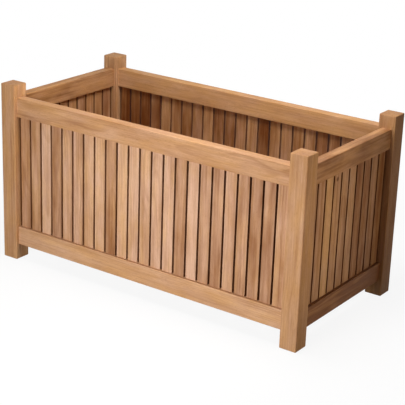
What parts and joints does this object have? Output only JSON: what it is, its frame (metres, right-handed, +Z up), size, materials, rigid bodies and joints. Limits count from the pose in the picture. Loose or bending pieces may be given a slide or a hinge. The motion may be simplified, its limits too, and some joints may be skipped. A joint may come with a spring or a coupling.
{
  "type": "rectangular planter box",
  "caption": "Long rectangular hardwood planter box with square corner posts, top and bottom rails, upright slats and a slatted draining floor, open at the top to hold soil and plants.",
  "frame": {"origin": "on the ground, under the middle of the box", "axes": "+X along the length, to the right seen from the front; +Y from the front panel to the back panel; +Z up"},
  "size_m": [1, 0.5, 0.52],
  "materials": {
    "post_wood": "smooth sanded bare teak with eased edges",
    "rail_wood": "smooth sanded bare teak, grain along the rail",
    "slat_wood": "sanded bare teak, tone changing from slat to slat",
    "floor_wood": "planed bare teak",
    "screw_steel": "stainless, satin"
  },
  "bodies": {
    "root": {"back_batten": "floor_wood", "back_bottom_rail": "rail_wood", "back_left_post": "post_wood", "back_right_post": "post_wood", "back_slats_01": "slat_wood", "back_slats_02": "slat_wood", "back_slats_03": "slat_wood", "back_slats_04": "slat_wood", "back_slats_05": "slat_wood", "back_slats_06": "slat_wood", "back_slats_07": "slat_wood", "back_slats_08": "slat_wood", "back_slats_09": "slat_wood", "back_slats_10": "slat_wood", "back_slats_11": "slat_wood", "back_top_rail": "rail_wood", "batten_screws": "screw_steel", "floor_board_01": "floor_wood", "floor_board_02": "floor_wood", "floor_board_03": "floor_wood", "floor_board_04": "floor_wood", "floor_board_05": "floor_wood", "floor_board_06": "floor_wood", "floor_board_07": "floor_wood", "floor_board_08": "floor_wood", "floor_board_09": "floor_wood", "floor_screws": "screw_steel", "front_batten": "floor_wood", "front_bottom_rail": "rail_wood", "front_left_post": "post_wood", "front_right_post": "post_wood", "front_slats_01": "slat_wood", "front_slats_02": "slat_wood", "front_slats_03": "slat_wood", "front_slats_04": "slat_wood", "front_slats_05": "slat_wood", "front_slats_06": "slat_wood", "front_slats_07": "slat_wood", "front_slats_08": "slat_wood", "front_slats_09": "slat_wood", "front_slats_10": "slat_wood", "front_slats_11": "slat_wood", "front_top_rail": "rail_wood", "left_bottom_rail": "rail_wood", "left_slats_01": "slat_wood", "left_slats_02": "slat_wood", "left_slats_03": "slat_wood", "left_slats_04": "slat_wood", "left_slats_05": "slat_wood", "left_top_rail": "rail_wood", "right_bottom_rail": "rail_wood", "right_slats_01": "slat_wood", "right_slats_02": "slat_wood", "right_slats_03": "slat_wood", "right_slats_04": "slat_wood", "right_slats_05": "slat_wood", "right_top_rail": "rail_wood"}
  },
  "joints": []
}
